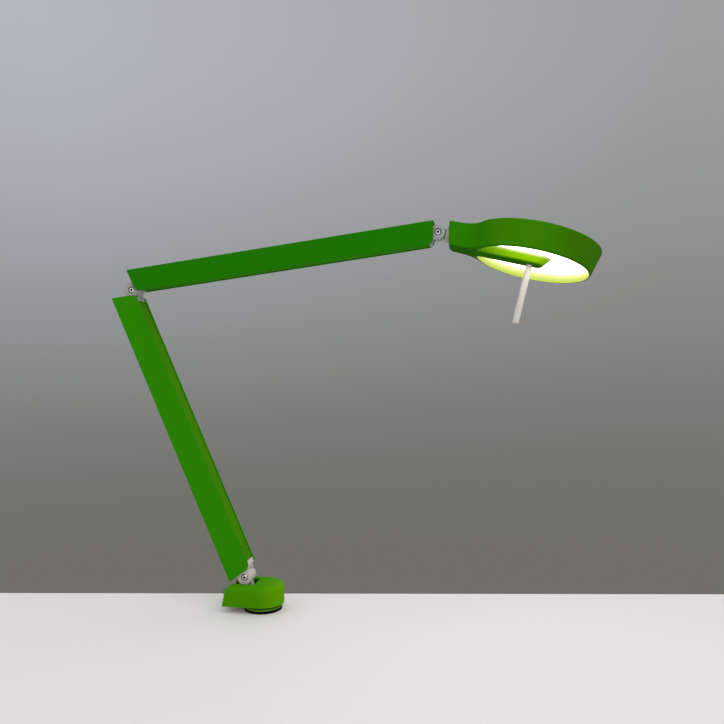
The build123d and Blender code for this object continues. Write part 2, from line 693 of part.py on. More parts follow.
def gland_parts(gland_plane):
    """Cable gland that stands square to the tail wall, and its nut inside."""
    body = upright_cylinder(GLAND_FLANGE_RADIUS, 0, GLAND_FLANGE)
    body = chamfer(body.edges().group_by(Axis.Z)[-1], GLAND_FLANGE / 4)
    nose = Cone(GLAND_RADIUS, GLAND_NOSE_RADIUS, GLAND_NOSE)
    body += Pos(0, 0, GLAND_FLANGE + GLAND_NOSE / 2) * nose
    inner = COVER_WALL + GLAND_SHANK
    body += upright_cylinder(GLAND_RADIUS, -inner, 0)
    body -= upright_cylinder(GLAND_BORE, -inner, GLAND_FLANGE + GLAND_NOSE)
    hexagon = RegularPolygon(GLAND_NUT_FLATS / 2, 6, major_radius=False)
    nut = plan_solid(hexagon, -COVER_WALL - GLAND_NUT, -COVER_WALL)
    nut -= upright_cylinder(GLAND_RADIUS + RUNNING_FIT, -inner, 0)
    return {"cable_gland": gland_plane * body, "gland_nut": gland_plane * nut}


def turret_parts():
    """What turns on the spindle."""
    height = COVER_BOTTOM + GLAND_HEIGHT
    slope = COVER_TAIL_SLANT / COVER_HEIGHT
    gland_plane = Plane(origin=(tail_x(height), 0, height), x_dir=(0, 1, 0), z_dir=(-1, 0, slope)).location
    bush = upright_cylinder(BUSH_RADIUS, FLOOR_Z, BOSS_TOP)
    bush -= upright_cylinder(SPINDLE_RADIUS + RUNNING_FIT, FLOOR_Z, BOSS_TOP)
    parts = {
        "base_casting": base_casting(),
        "swivel_bush": bush,
        "base_cover": base_cover(gland_plane),
        "cover_screws": cover_screws(),
    }
    parts.update(gland_parts(gland_plane))
    return parts


# Head, in a frame with the head pivot at the origin and X along the neck

def head_knuckle_parts():
    """Eye, collar and stem that the head turns on, and the ring that keeps it there."""
    half = COLLAR_RADIUS * EYE_NECK
    eye = side_solid(eye_outline((0, 0), HEAD_KNUCKLE_RADIUS, (0, COLLAR_START, -half, half)), EYE_WIDTH)
    ring_low = BUSH_END + AXIAL_PLAY
    ring_high = ring_low + CLIP_THICKNESS
    stem = long_cylinder(COLLAR_RADIUS, COLLAR_START, COLLAR_END)
    stem += long_cylinder(STEM_RADIUS, COLLAR_END, ring_high + STEM_END)
    groove = long_cylinder(STEM_RADIUS, ring_low - RUNNING_FIT, ring_high + RUNNING_FIT)
    groove -= long_cylinder(STEM_RADIUS - CLIP_DEPTH, ring_low - RUNNING_FIT, ring_high + RUNNING_FIT)
    knuckle = eye + stem - groove
    knuckle -= cross_cylinder((0, 0), BOLT_RADIUS + RUNNING_FIT, -EYE_WIDTH, EYE_WIDTH)
    ring = long_cylinder(STEM_BUSH_RADIUS - AXIAL_PLAY, ring_low, ring_high)
    ring -= long_cylinder(STEM_RADIUS - CLIP_DEPTH + RUNNING_FIT, ring_low, ring_high)
    opening = Box(CLIP_THICKNESS, 2 * CLIP_REACH, STEM_BUSH_RADIUS)
    ring -= Pos((ring_low + ring_high) / 2, 0, STEM_BUSH_RADIUS / 2) * opening
    return {"head_knuckle": knuckle, "stem_clip": ring}


def pan_plan(ring_radius, end_x):
    """Plan of neck and ring at one height, blended as far as the neck's straight sides allow."""
    half = NECK_WIDTH / 2
    neck = Pos((end_x + RING_X) / 2, 0) * Rectangle(RING_X - end_x, NECK_WIDTH)
    plan = neck + Pos(RING_X, 0) * Circle(ring_radius)
    meet = RING_X - sqrt(ring_radius ** 2 - half ** 2)
    room = RING_X - end_x - NECK_CORNER
    widest = (room ** 2 - ring_radius ** 2 + half ** 2) / (2 * (ring_radius - half))
    return fillet(nearest_vertices(plan, (meet, half), (meet, -half)), min(NECK_BLEND, widest))


def inner_radius(z):
    """Inside radius of the flared ring at height z."""
    return RIM_RADIUS - RING_WALL + RING_TAPER * (z - RIM_Z)


def lid_seat_radius():
    """Radius of the seat that takes the lid."""
    return inner_radius(LID_BOTTOM)


def ring_hollow():
    """Space inside the ring, with the ledge that carries the lid."""
    ledge_low = LID_BOTTOM - LEDGE_THICKNESS
    ledge_radius = lid_seat_radius() - LEDGE_WIDTH
    below = RIM_Z - RING_WALL
    above = TOP_Z + RING_WALL
    profile = outline(
        (0, below), (inner_radius(below), below), (inner_radius(ledge_low), ledge_low),
        (ledge_radius, ledge_low), (ledge_radius, LID_BOTTOM),
        (lid_seat_radius(), LID_BOTTOM), (lid_seat_radius(), above), (0, above),
    )
    return Pos(RING_X, 0, 0) * revolve(Plane.XZ * profile, Axis.Z)


def bridge_plan(width, start, reach):
    """Plan of the bridge, from its start to a round end that reaches past the ring's axis."""
    centre = RING_X + reach - width / 2
    plan = Pos((start + centre) / 2, 0) * Rectangle(centre - start, width)
    return plan + Pos(centre, 0) * Circle(width / 2)


def bridge_pocket():
    """Pocket in the neck's underside that takes the foot of the bridge."""
    plan = Pos((BRIDGE_START + RING_X) / 2, 0)
    plan *= Rectangle(RING_X - BRIDGE_START + 2 * BRIDGE_FIT, BRIDGE_WIDTH + 2 * BRIDGE_FIT)
    return plan_solid(plan, RIM_Z - RING_WALL, RIM_Z + BRIDGE_SEAT + BRIDGE_FIT)


def bridge_body():
    """Foot in the neck and a tongue under the diffuser, whose sides and end slope."""
    foot_end = RING_X - inner_radius(RIM_Z) + RING_WALL
    foot_plan = Pos((BRIDGE_START + foot_end) / 2, 0) * Rectangle(foot_end - BRIDGE_START, BRIDGE_WIDTH)
    foot = plan_solid(foot_plan, RIM_Z, RIM_Z + BRIDGE_SEAT)
    low_plan = Pos(0, 0, RIM_Z) * bridge_plan(BRIDGE_WIDTH, BRIDGE_START, BRIDGE_REACH)
    high_plan = Pos(0, 0, DIFFUSER_Z) * bridge_plan(BRIDGE_TOP_WIDTH, BRIDGE_START, BRIDGE_TOP_REACH)
    tongue = loft([low_plan, high_plan], ruled=True)
    tongue = fillet(tongue.edges().group_by(Axis.Z)[0].sort_by(Axis.X)[1:], BRIDGE_ROUND)
    low_radius = inner_radius(RIM_Z) - BRIDGE_FIT
    high_radius = inner_radius(DIFFUSER_Z) - BRIDGE_FIT
    inside = Pos(RING_X, 0, (RIM_Z + DIFFUSER_Z) / 2) * Cone(low_radius, high_radius, DIFFUSER_RECESS)
    return foot + (tongue & inside)


def head_frame():
    """Flared ring and neck in one piece, open above and below."""
    low_plan = Pos(0, 0, RIM_Z) * pan_plan(RIM_RADIUS, NECK_END_TOP + NECK_END_SLANT)
    high_plan = Pos(0, 0, TOP_Z) * pan_plan(TOP_RADIUS, NECK_END_TOP)
    body = loft([low_plan, high_plan], ruled=True)
    end_corner = Vector(NECK_END_TOP + NECK_END_SLANT, 0, RIM_Z)
    body = fillet(body.edges().filter_by(Axis.Y).sort_by_distance(end_corner)[0], NECK_CORNER)
    body = fillet(body.edges().group_by(Axis.Z)[0], RIM_ROUND)
    body = fillet(body.edges().group_by(Axis.Z)[-1], TOP_ROUND)
    body -= ring_hollow()
    body -= long_cylinder(COLLAR_RADIUS + COLLAR_CLEAR, 0, BUSH_START + STEM_BUSH_FLANGE)
    body -= long_cylinder(STEM_BUSH_RADIUS, 0, RING_X)
    body -= bridge_pocket()
    for place in bridge_screw_places():
        body -= place * countersunk_hole(BRIDGE_SCREW_LENGTH)
    return body


def bridge_screw_places():
    """Places of the two screws that hold the bridge to the neck."""
    turn = Rot(180, 0, 0)
    return [Pos(BRIDGE_SCREW_X, side * BRIDGE_SCREW_Y, RIM_Z) * turn for side in (-1, 1)]


def bridge_parts():
    """Bridge under the diffuser, its screws, the handle rod and the rod's screw."""
    bridge = bridge_body()
    rod_top = RIM_Z + ROD_SEAT
    rod = upright_cylinder(ROD_RADIUS, RIM_Z - ROD_LENGTH, rod_top, ROD_X)
    rod = fillet(rod.edges().group_by(Axis.Z)[0], ROD_EDGE)
    bridge -= upright_cylinder(ROD_RADIUS + ROD_FIT, RIM_Z, rod_top, ROD_X)
    down = Pos(ROD_X, 0, DIFFUSER_Z)
    bridge -= down * countersunk_hole(ROD_SCREW_LENGTH)
    rod -= down * countersunk_hole(ROD_SCREW_LENGTH)
    screws = []
    for place in bridge_screw_places():
        bridge -= place * countersunk_hole(BRIDGE_SCREW_LENGTH)
        screws.append(place * countersunk_screw(BRIDGE_SCREW_LENGTH))
    return {
        "bridge": bridge,
        "bridge_screws": Compound(screws),
        "handle_rod": rod,
        "handle_screw": down * countersunk_screw(ROD_SCREW_LENGTH),
    }


def light_parts():
    """Lid, heat spreader, LED board, LED chips, their screws and the diffuser."""
    lid = upright_cylinder(lid_seat_radius() - LID_FIT, LID_BOTTOM, TOP_Z, RING_X)
    spreader_low = LID_BOTTOM - SPREADER_THICKNESS
    board_low = spreader_low - BOARD_THICKNESS
    chip_low = board_low - CHIP_THICKNESS
    spreader = upright_cylinder(SPREADER_RADIUS, spreader_low, LID_BOTTOM, RING_X)
    board = upright_cylinder(BOARD_RADIUS, board_low, spreader_low, RING_X)
    chips = []
    for count, circle in zip(CHIP_COUNTS, CHIP_CIRCLES):
        for index in range(count):
            turn = 360 * index / count
            place = Pos(RING_X, 0, chip_low + CHIP_THICKNESS / 2) * Rot(0, 0, turn) * Pos(circle, 0, 0)
            chips.append(place * Box(CHIP_SIZE, CHIP_SIZE, CHIP_THICKNESS))
    screws = []
    for index in range(LED_SCREW_COUNT):
        turn = 2 * pi * (index + 0.5) / LED_SCREW_COUNT
        x = RING_X + LED_SCREW_CIRCLE * cos(turn)
        y = LED_SCREW_CIRCLE * sin(turn)
        top = LID_BOTTOM + LED_SCREW_BITE
        hole = upright_cylinder(LED_SCREW_RADIUS + SCREW_FIT, board_low, top + SCREW_FIT, x, y)
        lid -= hole
        spreader -= hole
        board -= hole
        head = upright_cylinder(LED_SCREW_HEAD_RADIUS, board_low - LED_SCREW_HEAD, board_low, x, y)
        screws.append(head + upright_cylinder(LED_SCREW_RADIUS, board_low, top, x, y))
    low_radius = inner_radius(DIFFUSER_Z) - DIFFUSER_FIT
    high_radius = inner_radius(DIFFUSER_Z + DIFFUSER_THICKNESS) - DIFFUSER_FIT
    diffuser = Pos(RING_X, 0, DIFFUSER_Z + DIFFUSER_THICKNESS / 2)
    diffuser *= Cone(low_radius, high_radius, DIFFUSER_THICKNESS)
    return {
        "head_lid": lid,
        "heat_spreader": spreader,
        "led_board": board,
        "led_chips": Compound(chips),
        "led_screws": Compound(screws),
        "diffuser": diffuser,
    }


def stem_bush():
    """Flanged bush in the neck that the stem turns in."""
    bush = long_cylinder(STEM_BUSH_RADIUS, BUSH_START, BUSH_END)
    bush += long_cylinder(COLLAR_RADIUS, BUSH_START, BUSH_START + STEM_BUSH_FLANGE)
    return bush - long_cylinder(STEM_RADIUS + RUNNING_FIT, BUSH_START, BUSH_END)


def head_parts():
    """Everything that turns about the head's own axis."""
    parts = {"head_frame": head_frame(), "stem_bush": stem_bush()}
    parts.update(bridge_parts())
    parts.update(light_parts())
    return parts


# Assembly

def assemble():
    """All nodes in the rest pose."""
    lower, upper = make_arms()
    lower_frame = Location((BASE_PIVOT_X, 0, BASE_PIVOT_Z), (0, -90 - LOWER_LEAN, 0))
    elbow = (lower_frame * Pos(lower.far_pivot[0], 0, lower.far_pivot[1])).position
    upper_frame = Location(elbow, (0, -UPPER_RISE, 0))
    head = (upper_frame * Pos(upper.far_pivot[0], 0, upper.far_pivot[1])).position
    tilt_frame = Location(head, (0, HEAD_DROP, 0))
    head_frame_place = tilt_frame * Location((0, 0, 0), (-HEAD_ROLL, 0, 0))
    nodes = {}
    nodes.update(desk_mount_parts())
    nodes.update(turret_parts())
    groups = (
        (lower_frame, lower_arm_parts(lower)),
        (upper_frame, upper_arm_parts(upper)),
        (tilt_frame, head_knuckle_parts()),
        (head_frame_place, head_parts()),
    )
    for place, parts in groups:
        for name, shape in parts.items():
            nodes[name] = place * shape
    return nodes


def main():
    os.makedirs("parts", exist_ok=True)
    for name, shape in assemble().items():
        export_step(shape, f"parts/{name}.step")


main()
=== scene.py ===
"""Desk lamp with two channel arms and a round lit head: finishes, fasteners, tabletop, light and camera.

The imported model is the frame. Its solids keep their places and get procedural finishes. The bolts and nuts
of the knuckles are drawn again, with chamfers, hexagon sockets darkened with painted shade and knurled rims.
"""

import json
from math import cos, pi, radians, sin

import bmesh
import bpy
from bpy.props import FloatProperty, FloatVectorProperty, PointerProperty
from bpy.types import Operator, Panel, PropertyGroup
from mathutils import Matrix, Vector

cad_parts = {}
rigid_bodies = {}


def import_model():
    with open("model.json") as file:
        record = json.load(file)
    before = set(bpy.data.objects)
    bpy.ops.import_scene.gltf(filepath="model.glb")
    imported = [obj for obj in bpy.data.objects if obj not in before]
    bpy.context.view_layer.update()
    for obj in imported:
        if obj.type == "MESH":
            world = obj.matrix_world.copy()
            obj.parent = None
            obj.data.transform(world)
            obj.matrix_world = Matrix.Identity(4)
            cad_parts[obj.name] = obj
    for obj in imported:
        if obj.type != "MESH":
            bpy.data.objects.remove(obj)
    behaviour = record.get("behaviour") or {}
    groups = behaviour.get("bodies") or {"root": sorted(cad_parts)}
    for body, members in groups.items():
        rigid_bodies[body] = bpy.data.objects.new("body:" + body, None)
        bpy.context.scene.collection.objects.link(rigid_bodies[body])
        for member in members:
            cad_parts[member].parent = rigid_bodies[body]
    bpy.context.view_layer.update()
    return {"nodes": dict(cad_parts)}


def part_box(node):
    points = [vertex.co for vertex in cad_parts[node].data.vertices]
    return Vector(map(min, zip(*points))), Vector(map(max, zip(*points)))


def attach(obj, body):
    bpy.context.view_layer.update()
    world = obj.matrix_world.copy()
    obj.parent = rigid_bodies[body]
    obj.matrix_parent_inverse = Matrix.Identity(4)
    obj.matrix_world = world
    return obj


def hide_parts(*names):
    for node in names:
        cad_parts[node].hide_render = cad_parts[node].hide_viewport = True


for leftover in list(bpy.data.objects):
    bpy.data.objects.remove(leftover)
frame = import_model()
NODES = frame["nodes"]

bl_info = {
    "name": "Desk Lamp",
    "version": (1, 0, 0),
    "blender": (4, 5, 0),
    "location": "3D View > Sidebar > Desk Lamp",
    "description": "Finishes, fasteners and a small studio for a two-arm desk lamp",
    "category": "Object",
}

MILLIMETRE = 0.001

# Head: how much the ring's inside widens with height, and how far past it the painted light on the inside
# reaches
RING_TAPER = 0.2414
GLOW_FIT = 0.1 * MILLIMETRE

# Head: heights over the rim at which the painted shade of the underside ends and the bridge's painted light
# is full
UNDER_HEIGHT = 2.5 * MILLIMETRE
GLOW_HEIGHT = 3.5 * MILLIMETRE

# Bridge: how far from the ring's wall its painted light is brightest, and the share of the height where it
# turns pale
GLOW_LENGTH = 50 * MILLIMETRE
PALE_FROM = 0.62

# Head, in radii from the diffuser's middle: end of the neck's green, start of the ring's painted light and
# of the far end's painted shade
NECK_END = -0.9
RING_START = -0.6
FAR_START = 0.6

# Fasteners: points in a ring, sides, angle below which faces are smooth, and the side of the bolts' heads
RING_STEPS = 72
HEXAGON = 6
SMOOTH_ANGLE = radians(28)
BOLT_SIDE = Vector((0, -1, 0))

# Hexagon socket: bevel of the mouth and drill's tip in widths across its flats, and drill's depth in depths
SOCKET_MOUTH = 0.06
SOCKET_TIP = 0.1
SOCKET_DRILL = 1.15

# Nut: bore in shanks, round faces in half widths, slope of the turned corners, bore's bevel in chamfers
NUT_BORE = 1.02
NUT_FACE = 0.96
NUT_SLOPE = 4
NUT_MOUTH = 0.3

# Linear tones of the heat spreader, the unlit opal sheet and the even light
SHEET_DARK = (0.52, 0.53, 0.54, 1.0)
SHEET_LIGHT = (0.68, 0.69, 0.7, 1.0)
OPAL = (0.9, 0.9, 0.88, 1.0)
WHITE = (1.0, 1.0, 1.0, 1.0)

# Backdrop, in parts of a view's direction: heights between which its tone changes, and its width
WALL_LOW = -0.26
WALL_HIGH = 0.44
WALL_SPREAD = 0.76

# Behind the camera: depth of a view's direction at which the pale tone starts, and how fast it comes
BEHIND_START = -0.2
BEHIND_RISE = 3.0

# Camera: width of the sensor in millimetres, and where its view starts
SENSOR_WIDTH = 36.0
CLIP_START = 10 * MILLIMETRE


# Settings that a user would change

def colour(name, description, red, green, blue):
    """Colour setting, given as 0 to 255 on a screen."""
    default = (red / 255, green / 255, blue / 255)
    return FloatVectorProperty(
        name=name, description=description, default=default, size=3, min=0, max=1, subtype="COLOR_GAMMA",
    )


def length(name, description, millimetres):
    """Length setting, given in millimetres."""
    default = millimetres * MILLIMETRE
    return FloatProperty(
        name=name, description=description, default=default, min=0, unit="LENGTH", precision=5,
    )


def spot(name, description, *metres):
    """Setting for a place, given in metres."""
    return FloatVectorProperty(name=name, description=description, default=metres, unit="LENGTH")


def angle(name, description, degrees):
    """Angle setting, given in degrees."""
    return FloatProperty(name=name, description=description, default=radians(degrees), unit="ROTATION")


def number(name, description, default, most=1.0):
    """Plain number setting."""
    return FloatProperty(name=name, description=description, default=default, min=0, max=most)


class LampFinishes(PropertyGroup):
    """Colours and gloss of the lamp."""

    # Arms: one powder coat in lit and shaded copies; the upper arm's green is painted shade, the strips'
    # greens are painted light
    lower_green: colour("Lower arm green", "Powder coat of the lower arm", 46, 136, 3)
    lower_strip_lit: colour("Lower strip green", "Powder coat of the lower arm's cover strip", 64, 128, 3)
    upper_shaded_green: colour("Upper arm green", "Powder coat of the upper arm", 31, 119, 2)
    upper_strip_lit: colour("Upper strip green", "Powder coat of the upper arm's cover strip", 50, 125, 4)
    # The nose's green is the base's powder coat with painted light from the head
    base_green: colour("Base green", "Powder coat of the base", 68, 141, 2)
    nose_lit_green: colour("Base green, nose", "Powder coat of the base's round nose", 93, 156, 2)
    # Neck, ring and far end: one powder coat, with painted light on the ring and painted shade at the far
    # end
    head_green: colour("Head green", "Powder coat of the neck", 45, 126, 1)
    ring_lit_green: colour("Ring green", "Powder coat of the ring", 60, 131, 4)
    far_shaded_green: colour("Ring green, far end", "Powder coat of the ring's far end", 56, 113, 3)
    # The plate's paler green is partly its lacquer's own and partly a painted reflection of the tabletop
    plate_green_and_reflection: colour("Plate green", "Lacquer of the plate under the base", 92, 136, 34)
    # Bridge: painted light from the diffuser, and painted shade at its root next to the ring
    bridge_lit_green: colour("Bridge green", "Powder coat of the bridge under the diffuser", 100, 144, 3)
    bridge_root_shade: colour("Bridge green, root", "Powder coat of the bridge next to the ring", 58, 108, 6)
    # Painted shade on the head's underside
    under_shade: number("Head underside", "Share of the head's green left on its underside", 0.55)
    # Painted light from the diffuser on the inside of the shade
    shade_inside_glow: colour("Inside of the shade", "Green light on the ring's lining at the rim", 130, 147, 64)
    shade_upper_glow: colour("Inside of the shade, upper", "Lining next to the diffuser", 190, 192, 158)
    paint_cloud: number("Paint cloud", "How much darker the clouds in the powder coat are", 0.12)
    paint_gloss: number("Paint roughness", "Roughness of the powder coat", 0.48)
    paint_index: number("Paint index", "Refractive index of the dull powder coat", 1.05, 3.0)
    edge: length("Edge radius", "Radius to which paint softens sharp edges", 0.5)
    # Castings: one grey paint, the turret's lighter copy is painted light from the head, the other castings'
    # darker copy painted shade
    base_casting: colour("Base casting", "Grey paint of the turret and the lower arm's foot", 202, 195, 188)
    upper_casting_shaded: colour("Upper casting", "Grey paint of the other plugs and head knuckle", 160, 158, 156)
    casting_grain: number("Casting grain", "How much darker the grain of the castings is", 0.2)
    steel: colour("Steel", "Bolts, nuts and screws", 232, 231, 228)
    # The black inside of the sockets is painted shade
    socket: colour("Socket", "Black inside of the hexagon sockets", 22, 22, 22)
    rubber: colour("Rubber", "Pad under the base", 6, 9, 6)
    rubber_index: number("Rubber index", "Refractive index of the dull rubber", 1.12, 3.0)
    nylon: colour("Nylon", "Washers and bushes", 24, 24, 23)
    gland: colour("Gland grey", "Cable gland", 122, 122, 119)
    sheath: colour("Cable sheath", "Cables inside the arms", 28, 28, 28)
    rod: colour("Handle rod", "Rod under the head", 197, 193, 192)
    board: colour("Board lacquer", "White lacquer of the LED board", 237, 237, 232)
    phosphor: colour("Chip phosphor", "Yellow face of the LED chips", 237, 204, 64)
    lit: colour("Lit diffuser", "Light that leaves the diffuser", 255, 244, 220)
    lit_strength: number("Diffuser strength", "How brightly the diffuser shines", 4.5, 100.0)


class LampFasteners(PropertyGroup):
    """Sizes of the fasteners that are drawn here."""

    bolt_socket: length("Bolt socket", "Across the flats of the bolt's hexagon socket", 3.0)
    bolt_socket_depth: length("Bolt socket depth", "Depth of the bolt's hexagon socket", 2.0)
    bolt_radius: length("Bolt shank", "Radius of the bolt's shank", 2.5)
    bolt_height: length("Bolt head", "Height of the bolt's head", 3.4)
    bolt_face: length("Bolt face", "Radius of the flat face of the bolt's head", 2.75)
    bolt_chamfer: length("Bolt chamfer", "Height of the chamfer round the bolt's head", 0.6)
    knurl: length("Knurl depth", "Depth of the knurl on the bolt's head", 0.08)
    nut_flats: length("Nut", "Across the flats of the nut", 8.0)
    nut_chamfer: length("Nut chamfer", "How far the nut's corners are turned off", 0.5)


class LampStage(PropertyGroup):
    """Tabletop, light and camera."""

    table: colour("Tabletop", "Pale tabletop", 231, 227, 226)
    table_reach: length("Tabletop behind", "From the camera to the far edge of the tabletop", 992)
    table_turn: angle("Tabletop turn", "How far the tabletop's far edge is turned from the view", 0.32)
    table_depth: length("Tabletop depth", "Front to back size of the tabletop", 900)
    table_width: length("Tabletop width", "Side to side size of the tabletop", 2200)
    table_thickness: length("Tabletop thickness", "Thickness of the tabletop", 25)
    table_edge: length("Tabletop edge", "Radius of the tabletop's edges", 1.0)
    backdrop_left: colour("Backdrop, left", "Tone of the grey backdrop high on the left", 179, 183, 191)
    backdrop_right: colour("Backdrop, right", "Tone of the grey backdrop high on the right", 158, 159, 160)
    backdrop_low: colour("Backdrop, low", "Tone of the grey backdrop behind the tabletop", 112, 112, 105)
    behind: colour("Behind the camera", "Tone that metal mirrors from behind the camera", 240, 240, 238)
    ambient: number("Ambient light", "Strength of the even light from all round", 0.81, 10.0)
    key: number("Key light", "Power of the large soft lamp", 10.0, 1000.0)
    key_size: length("Key light size", "Side of the large soft lamp", 1600)
    key_place: spot("Key light place", "Where the large soft lamp hangs", 0.75, -0.75, 1.75)
    key_target: spot("Key light target", "Where the large soft lamp points", 0.05, 0.0, 0.2)
    camera_place: spot("Camera place", "Where the camera stands", 0.292, -0.897, 0.328)
    camera_turn: angle("Camera turn", "Turn of the camera about the vertical", 10.0)
    camera_lens: number("Camera lens", "Focal length in millimetres on a 36 mm sensor", 34.81, 500.0)


def finishes():
    """The lamp's finish settings."""
    return bpy.context.scene.lamp_finishes


def fasteners():
    """The lamp's fastener settings."""
    return bpy.context.scene.lamp_fasteners


def stage():
    """The stage settings."""
    return bpy.context.scene.lamp_stage


# Colours

def linear(tone):
    """Screen colour, by the standard curve of screens, as a linear colour with alpha."""
    return tuple(v / 12.92 if v <= 0.04045 else ((v + 0.055) / 1.055) ** 2.4 for v in tone) + (1.0,)


def shaded(tone, share_left):
    """Linear colour with a share of its brightness left."""
    return tuple(share_left * part for part in tone[:3]) + (1.0,)


# Node trees

class Amount:
    """A number that varies over a surface. It takes part in ordinary arithmetic."""

    def __init__(self, nodes, socket):
        self.nodes = nodes
        self.socket = socket

    def maths(self, operation, first, second):
        """Amount that a Math node makes of two amounts or numbers."""
        made = self.nodes.node("ShaderNodeMath", {"operation": operation}, {0: first, 1: second})
        return Amount(self.nodes, made.outputs[0])

    def __add__(self, other):
        return self.maths("ADD", self, other)

    def __sub__(self, other):
        return self.maths("SUBTRACT", self, other)

    def __rsub__(self, other):
        return self.maths("SUBTRACT", other, self)

    def __mul__(self, other):
        return self.maths("MULTIPLY", self, other)

    def __pow__(self, other):
        return self.maths("POWER", self, other)

    def __lt__(self, other):
        return self.maths("LESS_THAN", self, other)

    __radd__ = __add__
    __rmul__ = __mul__

    def around(self, middle, width):
        """Amount that varies as much as the width allows around a middle value."""
        return (middle - width / 2) + width * self


class Nodes:
    """A node tree and the one method that adds nodes to it."""

    def __init__(self, tree):
        self.tree = tree
        tree.nodes.clear()

    def node(self, kind, settings=None, sockets=None):
        """New node: its settings are set first, and then its sockets get values or links."""
        made = self.tree.nodes.new(kind)
        for key, value in (settings or {}).items():
            setattr(made, key, value)
        for key, value in (sockets or {}).items():
            if isinstance(value, Amount):
                self.tree.links.new(value.socket, made.inputs[key])
            elif isinstance(value, bpy.types.NodeSocket):
                self.tree.links.new(value, made.inputs[key])
            else:
                made.inputs[key].default_value = value
        return made

    def amount(self, made, output=0):
        """Output of a node as an amount."""
        return Amount(self, made.outputs[output])

    def mix(self, factor, first, second):
        """Colour between two colours."""
        made = self.node("ShaderNodeMix", {"data_type": "RGBA"}, {0: factor, 6: first, 7: second})
        return made.outputs[2]


class Finish(Nodes):
    """A procedural material, in the coordinates of the object that wears it."""

    def __init__(self, name):
        self.material = bpy.data.materials.new(name)
        self.material.use_nodes = True
        super().__init__(self.material.node_tree)
        self.place = self.node("ShaderNodeTexCoord").outputs["Object"]

    def vectors(self, operation, *sides):
        """Vector Math node on one or two vectors."""
        return self.node("ShaderNodeVectorMath", {"operation": operation}, dict(enumerate(sides)))

    def noise(self, grain, detail=2.0, stretch=None):
        """Cloudy amount from 0 to 1 whose clouds are about one grain, in millimetres, across."""
        place = self.vectors("MULTIPLY", self.place, stretch).outputs[0] if stretch else self.place
        scale = 1 / (grain * MILLIMETRE)
        made = self.node("ShaderNodeTexNoise", None, {"Vector": place, "Scale": scale, "Detail": detail})
        return self.amount(made, "Fac")

    def sideways(self):
        """Amount that tells how far a place lies along X."""
        return self.amount(self.node("ShaderNodeSeparateXYZ", None, {0: self.place}), "X")

    def bump(self, height, depth, strength, edge=0.0):
        """Normal of a surface raised by an amount times a depth in millimetres, with softened edges."""
        sockets = {"Height": height, "Distance": depth * MILLIMETRE, "Strength": strength}
        if edge:
            sockets["Normal"] = self.node("ShaderNodeBevel", {"samples": 6}, {"Radius": edge}).outputs[0]
        return self.node("ShaderNodeBump", None, sockets).outputs[0]

    def shader(self, **sockets):
        """Principled shader at the end of the material, and the finished material."""
        named = {}
        for key, value in sockets.items():
            named[key.replace("_", " ").title().replace("Ior", "IOR")] = value
        made = self.node("ShaderNodeBsdfPrincipled", None, named)
        self.node("ShaderNodeOutputMaterial", None, {"Surface": made.outputs[0]})
        return self.material


# Green paint

def powder_coat(finish, tone):
    """Satin powder coat: soft clouds of tone and a fine orange peel."""
    tones = finishes()
    cloud = 0.7 * finish.noise(grain=60) + 0.3 * finish.noise(grain=9)
    peel = finish.noise(grain=1.3, detail=1.0)
    dust = finish.noise(grain=0.35, detail=1.0)
    return finish.shader(
        base_color=tone(cloud),
        roughness=cloud.around(tones.paint_gloss, 0.1),
        ior=tones.paint_index,
        normal=finish.bump(0.8 * peel + 0.2 * dust, depth=0.012, strength=0.5, edge=tones.edge),
    )


def clouded(finish, cloud, green):
    """Green that is darker in its clouds."""
    light = linear(green)
    return finish.mix(cloud, shaded(light, 1 - finishes().paint_cloud), light)


def green_paint(name, green):
    """Powder coat in one green."""
    finish = Finish(name)
    return powder_coat(finish, lambda cloud: clouded(finish, cloud, green))


def base_paint():
    """Powder coat of the base, with painted light from the head that grows from the swivel's axis to the
    nose.
    """
    tones = finishes()
    finish = Finish("base powder coat")
    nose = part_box("base_cover")[1].x
    forward = finish.sideways() * (1 / nose)

    def tone(cloud):
        # Painted light from the head grows towards the nose
        behind, ahead = (clouded(finish, cloud, green) for green in (tones.base_green, tones.nose_lit_green))
        return finish.mix(forward, behind, ahead)

    return powder_coat(finish, tone)


class HeadPlace:
    """Where a point of the head's finish lies, seen from the diffuser's middle.

    rise is its height over the diffuser, along its place between neck and far end in radii, from_wall its
    distance from the ring's inside, and inside is 1 below the diffuser within the ring. depth is how far the
    rim lies under the diffuser, measured at the bridge.
    """

    def __init__(self, finish):
        low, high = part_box("diffuser")
        middle = (low + high) / 2
        mesh = NODES["diffuser"].data
        facing = max(mesh.polygons, key=lambda face: face.area).normal
        upwards = facing.copy() if facing.z > 0 else -facing
        radius = max((vertex.co - middle).length for vertex in mesh.vertices)
        self.depth = max((middle - vertex.co).dot(upwards) for vertex in NODES["bridge"].data.vertices)
        away = finish.vectors("SUBTRACT", finish.place, middle).outputs[0]
        self.rise = finish.amount(finish.vectors("DOT_PRODUCT", away, upwards), "Value")
        reach = finish.amount(finish.vectors("LENGTH", away), "Value")
        across = (reach * reach - self.rise * self.rise) ** 0.5
        wall = RING_TAPER * self.rise + (radius + GLOW_FIT)
        self.along = (finish.sideways() - middle.x) * (1 / radius)
        self.from_wall = wall - across
        self.inside = (across < wall) * (self.rise < 0.0)

    def above_rim(self, height):
        """Amount that grows from 0 at the rim to 1 at a height above it."""
        return (self.rise + self.depth) * (1 / height)


